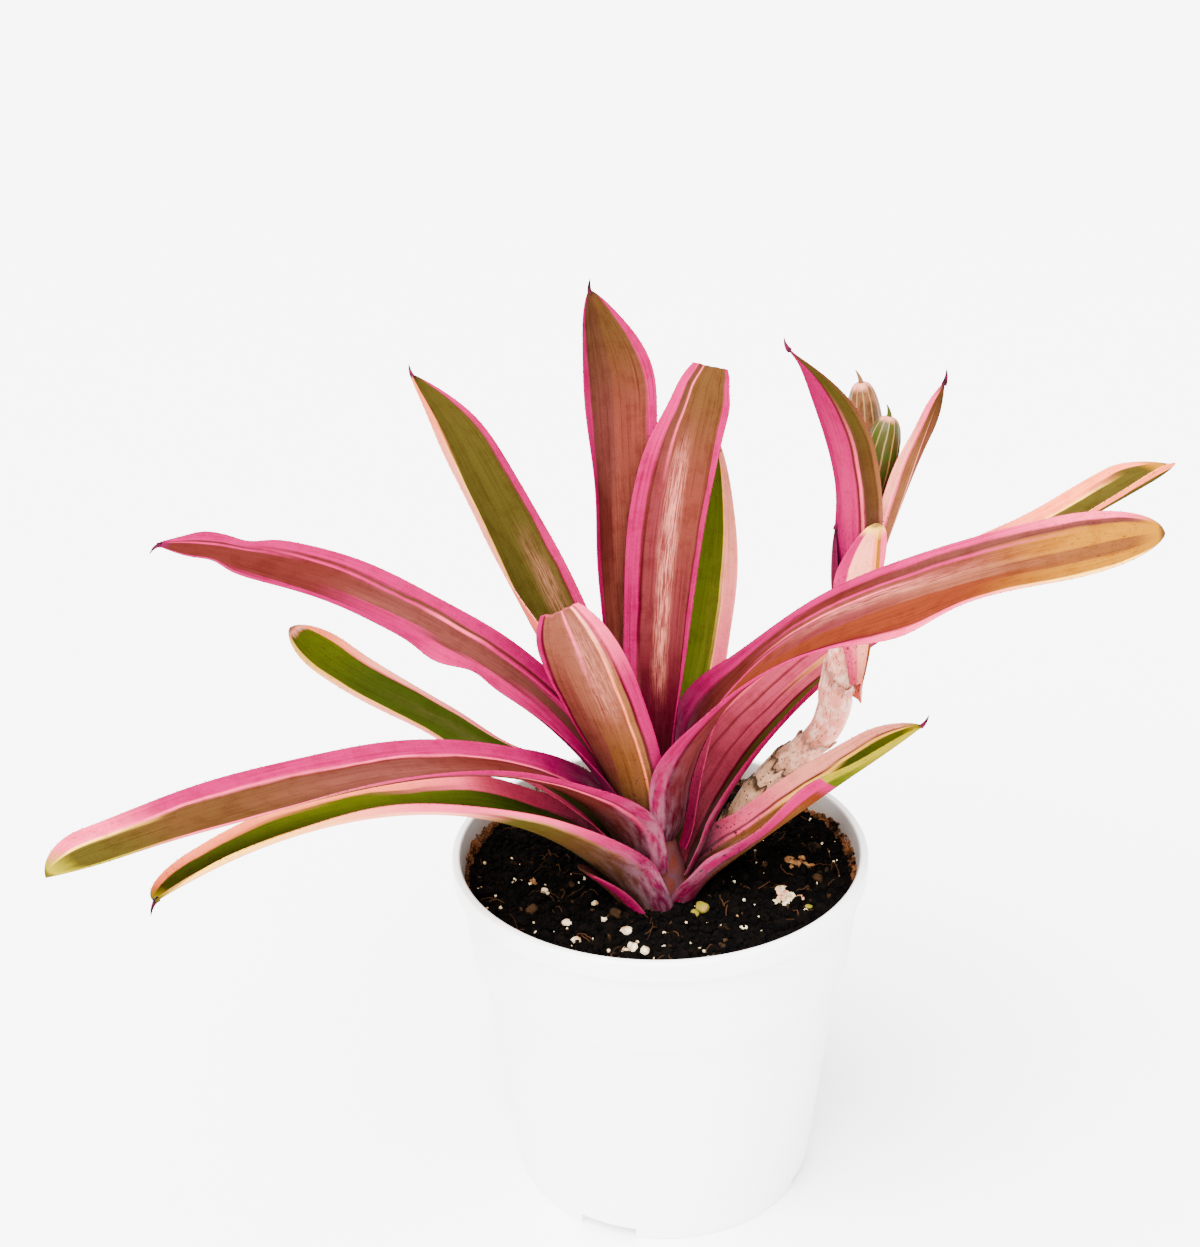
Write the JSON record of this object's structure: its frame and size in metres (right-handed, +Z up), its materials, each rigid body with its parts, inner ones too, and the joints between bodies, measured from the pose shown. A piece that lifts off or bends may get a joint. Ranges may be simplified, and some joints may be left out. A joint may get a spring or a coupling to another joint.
{
  "type": "potted bromeliad",
  "caption": "Small bromeliad rosette with striped strap leaves and a pup on a scaly stolon, in a plain round nursery pot.",
  "frame": {"origin": "middle of the pot's flat underside, on the surface that the pot stands on", "axes": "+Z up out of the pot; -Y towards the picture's viewer; +X to the viewer's right, the side of the stolon and its pup"},
  "size_m": [0.2822, 0.1841, 0.2357],
  "materials": {
    "pot": "satin white thin-walled polypropylene",
    "soil": "dark peat mix with perlite, bark crumbs and fibres",
    "stem": "matte living stem",
    "stolon": "papery pale pink and grey-beige sheaths",
    "leaf_green": "waxy green leaf with peach and pink margins",
    "leaf_olive": "waxy olive leaf with pale pink margins",
    "leaf_rose": "satin brown-rose leaf with hot pink margins",
    "leaf_brown": "glossy orange-brown leaf with pink stripes",
    "leaf_pink": "satin pink young leaf with brown stripes",
    "dry_sheath": "dry beige sheath with dark red specks"
  },
  "bodies": {
    "root": {"pot": "pot", "soil": "soil", "stem": "stem", "stolon": "stolon", "leaf_low_left": "leaf_green", "leaf_low_right": "leaf_green", "leaf_green_left": "leaf_green", "leaf_green_back": "leaf_green", "leaf_olive": "leaf_olive", "leaf_rose_right": "leaf_rose", "leaf_upper_left": "leaf_rose", "leaf_top": "leaf_rose", "leaf_heart": "leaf_rose", "leaf_long_left": "leaf_brown", "leaf_big_right": "leaf_brown", "leaf_short_front": "leaf_brown", "bract_dry": "dry_sheath", "sheath_old": "dry_sheath", "pup_leaf_left": "leaf_pink", "pup_leaf_right": "leaf_pink", "pup_bract_upper": "leaf_pink", "pup_bract_lower": "leaf_pink", "pup_bract_left": "leaf_pink", "pup_bud_brown": "leaf_rose", "pup_bud_green": "leaf_olive"}
  },
  "joints": []
}
